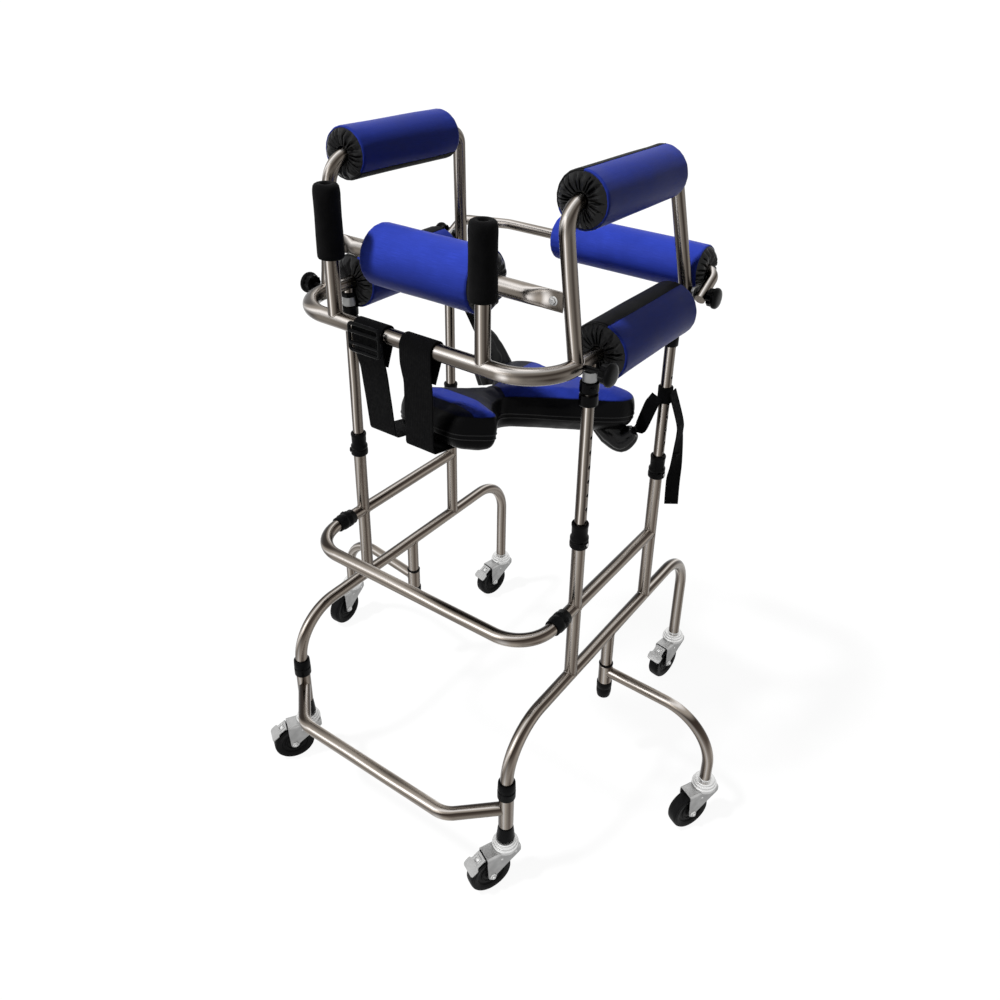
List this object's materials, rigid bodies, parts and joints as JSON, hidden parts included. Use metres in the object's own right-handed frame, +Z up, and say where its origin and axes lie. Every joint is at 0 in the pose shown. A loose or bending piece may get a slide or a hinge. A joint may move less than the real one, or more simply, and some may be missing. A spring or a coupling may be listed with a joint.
{
  "type": "wheeled gait trainer",
  "caption": "Child's wheeled standing and walking frame: tube side frames on swivel casters, outriggers, and a sliding upper frame with grips, padded rolls and a saddle seat on webbing.",
  "frame": {"origin": "on the floor, under the middle of the whole walker's bounding box", "axes": "+Z up, -Y towards the handlebar and the front casters, +X towards the user's left"},
  "size_m": [0.958, 0.7258, 1.169],
  "materials": {
    "steel": "polished stainless",
    "zinc": "zinc plated",
    "black_plastic": "moulded",
    "rubber": "matte",
    "foam": "matte foam",
    "blue_cover": "coated cloth",
    "webbing": "woven nylon"
  },
  "bodies": {
    "base": {"lower_rail_right": "steel", "lower_rail_left": "steel", "side_ladder_right": "steel", "side_ladder_left": "steel", "mid_crossbar": "steel", "front_crossbar": "steel", "crossbar_collar_right": "black_plastic", "crossbar_collar_left": "black_plastic", "leg_collar_right": "black_plastic", "leg_collar_left": "black_plastic", "upright_collar_front_right": "black_plastic", "upright_collar_front_left": "black_plastic", "upright_collar_rear_right": "black_plastic", "upright_collar_rear_left": "black_plastic", "outrigger_foot_right": "rubber", "outrigger_foot_left": "rubber"},
    "upper_frame": {"inner_leg_front_right": "steel", "inner_leg_front_left": "steel", "inner_leg_rear_right": "steel", "inner_leg_rear_left": "steel", "side_tube_right": "steel", "side_tube_left": "steel", "handlebar": "steel", "foam_grip_right": "foam", "foam_grip_left": "foam", "arm_rest_tube_right": "steel", "arm_rest_tube_left": "steel", "arm_rest_roll_right": "blue_cover", "arm_rest_roll_left": "blue_cover", "side_roll_right": "blue_cover", "side_roll_left": "blue_cover", "front_roll_bar": "steel", "front_roll": "blue_cover", "saddle_seat": "blue_cover", "front_strap": "webbing", "rear_strap": "webbing"},
    "back_bar": {"back_bar": "steel", "back_roll": "blue_cover"},
    "outrigger_right": {"outrigger_arm_right": "steel"},
    "outrigger_left": {"outrigger_arm_left": "steel"},
    "caster_front_right": {"caster_fork_front_right": "zinc"},
    "wheel_front_right": {"caster_wheel_front_right": "rubber"},
    "brake_pedal_front_right": {"caster_brake_pedal_front_right": "zinc"},
    "caster_front_left": {"caster_fork_front_left": "zinc"},
    "wheel_front_left": {"caster_wheel_front_left": "rubber"},
    "brake_pedal_front_left": {"caster_brake_pedal_front_left": "zinc"},
    "caster_rear_right": {"caster_fork_rear_right": "zinc"},
    "wheel_rear_right": {"caster_wheel_rear_right": "rubber"},
    "brake_pedal_rear_right": {"caster_brake_pedal_rear_right": "zinc"},
    "caster_rear_left": {"caster_fork_rear_left": "zinc"},
    "wheel_rear_left": {"caster_wheel_rear_left": "rubber"},
    "brake_pedal_rear_left": {"caster_brake_pedal_rear_left": "zinc"},
    "caster_outrigger_right": {"caster_fork_outrigger_right": "zinc"},
    "wheel_outrigger_right": {"caster_wheel_outrigger_right": "rubber"},
    "caster_outrigger_left": {"caster_fork_outrigger_left": "zinc"},
    "wheel_outrigger_left": {"caster_wheel_outrigger_left": "rubber"},
    "knob_front_right": {"knob_front_right": "black_plastic"},
    "knob_front_left": {"knob_front_left": "black_plastic"},
    "knob_rear_right": {"knob_rear_right": "black_plastic"},
    "knob_rear_left": {"knob_rear_left": "black_plastic"}
  },
  "joints": [
    {"name": "upper_frame_slide", "type": "slide", "parent": "base", "child": "upper_frame", "axis": [0, 0, 1], "range_m": [-0.1, 0.1]},
    {"name": "outrigger_right_swing", "type": "hinge", "parent": "base", "child": "outrigger_right", "pos_m": [0.23321, 0.02642, 0.2275], "axis": [0, 0, 1], "range_deg": [-70, 70]},
    {"name": "outrigger_left_swing", "type": "hinge", "parent": "base", "child": "outrigger_left", "pos_m": [-0.23679, 0.02642, 0.2275], "axis": [0, 0, 1], "range_deg": [-70, 70]},
    {"name": "caster_front_right_swivel", "type": "hinge", "parent": "base", "child": "caster_front_right", "pos_m": [0.23321, -0.28458, 0.08], "axis": [0, 0, 1], "continuous": true},
    {"name": "wheel_front_right_spin", "type": "hinge", "parent": "caster_front_right", "child": "wheel_front_right", "pos_m": [0.22011, -0.31268, 0.0375], "axis": [0.9063, -0.4226, 0], "continuous": true},
    {"name": "brake_pedal_front_right_press", "type": "hinge", "parent": "caster_front_right", "child": "brake_pedal_front_right", "pos_m": [0.21576, -0.32201, 0.08], "axis": [0.9063, -0.4226, 0], "range_deg": [0, 5]},
    {"name": "caster_front_left_swivel", "type": "hinge", "parent": "base", "child": "caster_front_left", "pos_m": [-0.23679, -0.28458, 0.08], "axis": [0, 0, 1], "continuous": true},
    {"name": "wheel_front_left_spin", "type": "hinge", "parent": "caster_front_left", "child": "wheel_front_left", "pos_m": [-0.25321, -0.31087, 0.0375], "axis": [0.848, -0.5299, 0], "continuous": true},
    {"name": "brake_pedal_front_left_press", "type": "hinge", "parent": "caster_front_left", "child": "brake_pedal_front_left", "pos_m": [-0.25867, -0.31961, 0.08], "axis": [0.848, -0.5299, 0], "range_deg": [0, 5]},
    {"name": "caster_rear_right_swivel", "type": "hinge", "parent": "base", "child": "caster_rear_right", "pos_m": [0.23321, 0.33812, 0.08], "axis": [0, 0, 1], "continuous": true},
    {"name": "wheel_rear_right_spin", "type": "hinge", "parent": "caster_rear_right", "child": "wheel_rear_right", "pos_m": [0.22836, 0.3075, 0.0375], "axis": [0.9877, -0.1564, 0], "continuous": true},
    {"name": "brake_pedal_rear_right_press", "type": "hinge", "parent": "caster_rear_right", "child": "brake_pedal_rear_right", "pos_m": [0.22675, 0.29733, 0.08], "axis": [0.9877, -0.1564, 0], "range_deg": [0, 5]},
    {"name": "caster_rear_left_swivel", "type": "hinge", "parent": "base", "child": "caster_rear_left", "pos_m": [-0.23679, 0.33812, 0.08], "axis": [0, 0, 1], "continuous": true},
    {"name": "wheel_rear_left_spin", "type": "hinge", "parent": "caster_rear_left", "child": "wheel_rear_left", "pos_m": [-0.24323, 0.3078, 0.0375], "axis": [0.9781, -0.2079, 0], "continuous": true},
    {"name": "brake_pedal_rear_left_press", "type": "hinge", "parent": "caster_rear_left", "child": "brake_pedal_rear_left", "pos_m": [-0.24537, 0.29772, 0.08], "axis": [0.9781, -0.2079, 0], "range_deg": [0, 5]},
    {"name": "caster_outrigger_right_swivel", "type": "hinge", "parent": "outrigger_right", "child": "caster_outrigger_right", "pos_m": [0.45516, 0.02138, 0.08], "axis": [0, 0, 1], "continuous": true},
    {"name": "wheel_outrigger_right_spin", "type": "hinge", "parent": "caster_outrigger_right", "child": "wheel_outrigger_right", "pos_m": [0.44108, -0.00624, 0.0375], "axis": [0.891, -0.454, 0], "continuous": true},
    {"name": "caster_outrigger_left_swivel", "type": "hinge", "parent": "outrigger_left", "child": "caster_outrigger_left", "pos_m": [-0.45699, 0.05463, 0.08], "axis": [0, 0, 1], "continuous": true},
    {"name": "wheel_outrigger_left_spin", "type": "hinge", "parent": "caster_outrigger_left", "child": "wheel_outrigger_left", "pos_m": [-0.45537, 0.02367, 0.0375], "axis": [0.9986, 0.0523, 0], "continuous": true},
    {"name": "back_bar_swing", "type": "hinge", "parent": "upper_frame", "child": "back_bar", "pos_m": [-0.00179, 0.19642, 0.923], "axis": [1, 0, 0], "range_deg": [-40, 0]},
    {"name": "knob_front_right_turn", "type": "hinge", "parent": "upper_frame", "child": "knob_front_right", "pos_m": [0.27171, -0.13958, 0.911], "axis": [1, 0, 0], "continuous": true},
    {"name": "knob_front_left_turn", "type": "hinge", "parent": "upper_frame", "child": "knob_front_left", "pos_m": [-0.27529, -0.13958, 0.911], "axis": [1, 0, 0], "continuous": true},
    {"name": "knob_rear_right_turn", "type": "hinge", "parent": "upper_frame", "child": "knob_rear_right", "pos_m": [0.27171, 0.19642, 0.923], "axis": [1, 0, 0], "continuous": true},
    {"name": "knob_rear_left_turn", "type": "hinge", "parent": "upper_frame", "child": "knob_rear_left", "pos_m": [-0.27529, 0.19642, 0.923], "axis": [1, 0, 0], "continuous": true}
  ]
}
